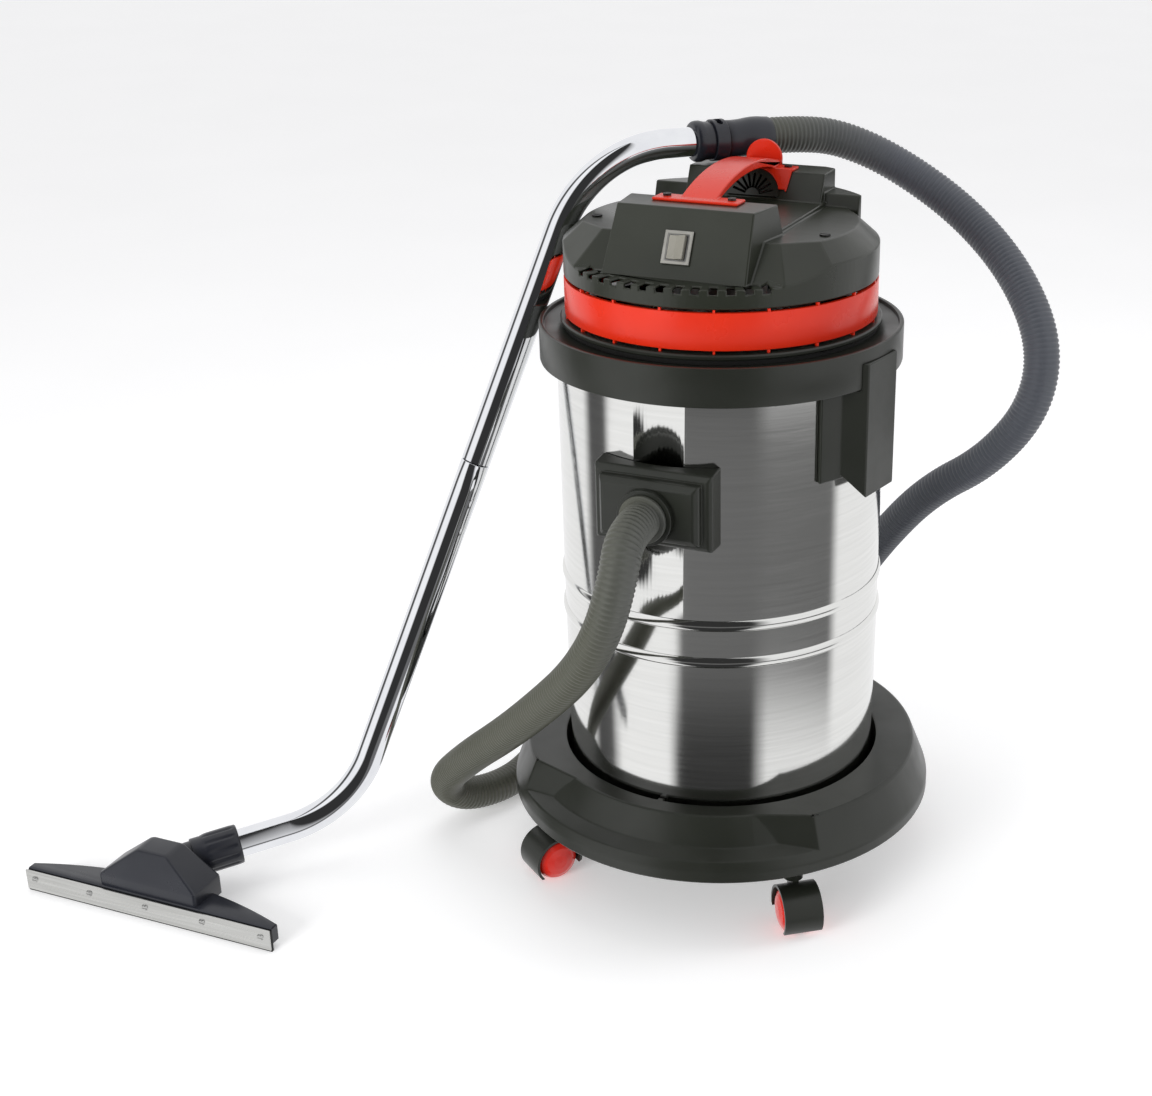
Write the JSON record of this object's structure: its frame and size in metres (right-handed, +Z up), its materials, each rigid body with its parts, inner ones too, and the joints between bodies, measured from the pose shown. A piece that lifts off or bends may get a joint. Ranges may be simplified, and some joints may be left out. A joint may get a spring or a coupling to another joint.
{
  "type": "wet and dry vacuum cleaner",
  "caption": "Upright steel-tank wet and dry vacuum cleaner on casters, with a lift-off motor head, ribbed hose, S-shaped steel wand and squeegee floor tool.",
  "frame": {"origin": "on the floor, under the tank's axis", "axes": "+Z up along the tank's axis; -Y towards the inlet and the switch; +X to the right seen from the front"},
  "size_m": [1.0143, 0.6969, 0.8164],
  "materials": {
    "polished_steel": "bright polished sheet",
    "black_plastic": "fine-grained moulded",
    "red_plastic": "smooth moulded",
    "wand_chrome": "polished",
    "hose_plastic": "ribbed, satin",
    "rubber": "matt",
    "satin_aluminium": "satin",
    "switch_grey": "satin",
    "zinc_steel": "zinc plated",
    "copper": "bare copper",
    "grey_plastic": "moulded",
    "filter_paper": "pleated paper"
  },
  "bodies": {
    "tank": {"tank_shell": "polished_steel", "tank_collar": "black_plastic", "side_grip": "black_plastic", "inlet_plate": "black_plastic", "inlet_port": "black_plastic", "inlet_ring_nut": "black_plastic", "inlet_deflector": "grey_plastic", "base_skirt": "black_plastic", "caster_sockets": "zinc_steel"},
    "inlet_swivel": {"inlet_cuff": "hose_plastic"},
    "head": {"head_chassis": "black_plastic", "head_gasket": "rubber", "exhaust_band": "red_plastic", "band_spacers": "red_plastic", "head_cover": "black_plastic", "cover_screws": "zinc_steel", "carry_handle": "red_plastic", "handle_screws": "zinc_steel", "vent_grille": "black_plastic", "switch_bezel": "satin_aluminium", "switch_body": "grey_plastic", "switch_leads": "rubber", "cable_gland": "black_plastic", "motor_fan_case": "zinc_steel", "motor_frame": "zinc_steel", "motor_bearings": "zinc_steel", "stator": "copper", "brush_holders": "copper", "float_cage": "grey_plastic", "filter_media": "filter_paper", "filter_caps": "grey_plastic"},
    "switch_rocker": {"switch_rocker": "switch_grey"},
    "rotor": {"rotor_shaft": "zinc_steel", "armature": "copper", "commutator": "copper", "impeller": "satin_aluminium"},
    "float": {"float_ball": "red_plastic"},
    "wand": {"wand_lower": "wand_chrome", "wand_upper": "wand_chrome", "hose_cuff": "black_plastic", "suction_hose": "hose_plastic"},
    "relief_ring": {"air_relief_ring": "black_plastic"},
    "floor_tool": {"squeegee_body": "black_plastic", "neck_cuff": "black_plastic", "front_blade": "rubber", "rear_blade": "rubber", "front_strip": "satin_aluminium", "strip_screws": "zinc_steel"},
    "caster_front_right": {"caster_hood_front_right": "black_plastic", "caster_axle_front_right": "zinc_steel"},
    "wheels_front_right": {"caster_wheels_front_right": "red_plastic"},
    "caster_front_left": {"caster_hood_front_left": "black_plastic", "caster_axle_front_left": "zinc_steel"},
    "wheels_front_left": {"caster_wheels_front_left": "red_plastic"},
    "caster_rear_right": {"caster_hood_rear_right": "black_plastic", "caster_axle_rear_right": "zinc_steel"},
    "wheels_rear_right": {"caster_wheels_rear_right": "red_plastic"},
    "caster_rear_left": {"caster_hood_rear_left": "black_plastic", "caster_axle_rear_left": "zinc_steel"},
    "wheels_rear_left": {"caster_wheels_rear_left": "red_plastic"}
  },
  "joints": [
    {"name": "head_lift", "type": "slide", "parent": "tank", "child": "head", "axis": [0, 0, 1], "range_m": [0, 0.25]},
    {"name": "wand_lift", "type": "slide", "parent": "tank", "child": "wand", "axis": [0, 0, 1], "range_m": [0, 0.425]},
    {"name": "inlet_turn", "type": "hinge", "parent": "tank", "child": "inlet_swivel", "pos_m": [0, -0.19, 0.48], "axis": [0, 1, 0], "continuous": true},
    {"name": "switch_rock", "type": "hinge", "parent": "head", "child": "switch_rocker", "pos_m": [0, -0.11696, 0.73118], "axis": [0, 0.4583, 0.8888], "range_deg": [0, 14]},
    {"name": "motor_spin", "type": "hinge", "parent": "head", "child": "rotor", "pos_m": [0, 0, 0.66], "axis": [0, 0, 1], "continuous": true},
    {"name": "float_rise", "type": "slide", "parent": "head", "child": "float", "axis": [0, 0, 1], "range_m": [0, 0.043]},
    {"name": "relief_turn", "type": "hinge", "parent": "wand", "child": "relief_ring", "pos_m": [-0.05594, 0.1272, 0.794], "axis": [0.6903, 0.7235, 0], "range_deg": [0, 60]},
    {"name": "tool_turn", "type": "hinge", "parent": "wand", "child": "floor_tool", "pos_m": [-0.48738, -0.32499, 0.04854], "axis": [0.6873, 0.7203, 0.0941], "range_deg": [-20, 20]},
    {"name": "swivel_front_right", "type": "hinge", "parent": "tank", "child": "caster_front_right", "pos_m": [0.13859, -0.13859, 0.07], "axis": [0, 0, 1], "continuous": true},
    {"name": "roll_front_right", "type": "hinge", "parent": "caster_front_right", "child": "wheels_front_right", "pos_m": [0.14917, -0.15316, 0.024], "axis": [0.809, 0.5878, 0], "continuous": true},
    {"name": "swivel_front_left", "type": "hinge", "parent": "tank", "child": "caster_front_left", "pos_m": [-0.13859, -0.13859, 0.07], "axis": [0, 0, 1], "continuous": true},
    {"name": "roll_front_left", "type": "hinge", "parent": "caster_front_left", "child": "wheels_front_left", "pos_m": [-0.14917, -0.15316, 0.024], "axis": [0.809, -0.5878, 0], "continuous": true},
    {"name": "swivel_rear_right", "type": "hinge", "parent": "tank", "child": "caster_rear_right", "pos_m": [0.13859, 0.13859, 0.07], "axis": [0, 0, 1], "continuous": true},
    {"name": "roll_rear_right", "type": "hinge", "parent": "caster_rear_right", "child": "wheels_rear_right", "pos_m": [0.15551, 0.14475, 0.024], "axis": [-0.342, 0.9397, 0], "continuous": true},
    {"name": "swivel_rear_left", "type": "hinge", "parent": "tank", "child": "caster_rear_left", "pos_m": [-0.13859, 0.13859, 0.07], "axis": [0, 0, 1], "continuous": true},
    {"name": "roll_rear_left", "type": "hinge", "parent": "caster_rear_left", "child": "wheels_rear_left", "pos_m": [-0.15418, 0.14759, 0.024], "axis": [-0.5, -0.866, 0], "continuous": true}
  ],
  "couplings": [
    {"joint": "wand_lift", "follows": "head_lift", "ratio": 1.7}
  ]
}
